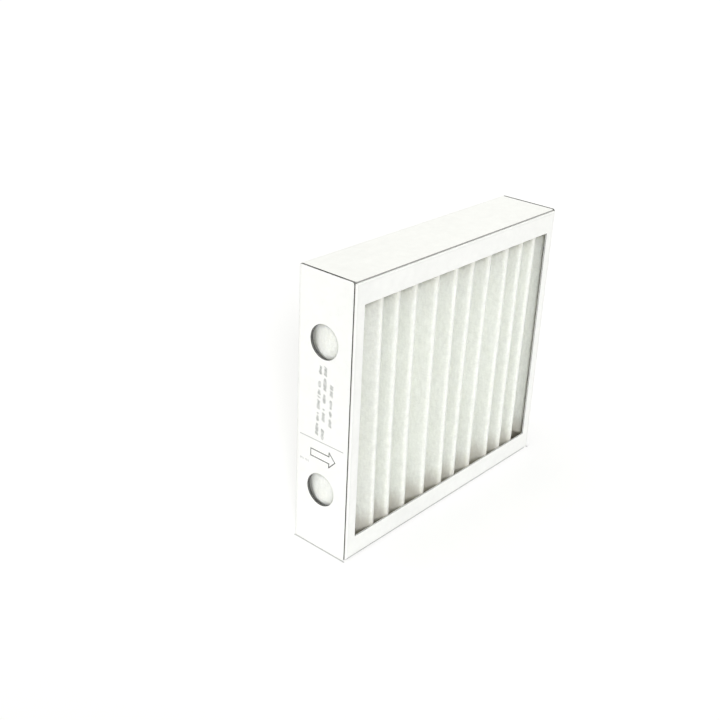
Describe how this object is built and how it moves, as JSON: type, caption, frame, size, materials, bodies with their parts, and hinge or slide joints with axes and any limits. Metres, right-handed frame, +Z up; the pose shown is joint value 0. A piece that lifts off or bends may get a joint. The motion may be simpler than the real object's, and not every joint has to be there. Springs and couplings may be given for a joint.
{
  "type": "pleated panel air filter",
  "caption": "Pleated panel air filter: folded non-woven media in nested white paperboard trays, with a window in each face and finger holes in one side wall.",
  "frame": {"origin": "middle of the footprint, on the underside of the rear tray's bottom wall", "axes": "+X across the panel, +Y from the front face to the rear face, +Z up"},
  "size_m": [0.23, 0.0492, 0.21],
  "materials": {
    "paperboard": "white lined, matt",
    "filter_media": "non-woven, fibrous",
    "hot_melt_glue": "waxy"
  },
  "bodies": {
    "root": {"rear_tray": "paperboard", "front_tray": "paperboard", "pleated_media": "filter_media", "bottom_glue_bed": "hot_melt_glue", "top_glue_bed": "hot_melt_glue", "left_glue_bead": "hot_melt_glue", "right_glue_bead": "hot_melt_glue"}
  },
  "joints": []
}
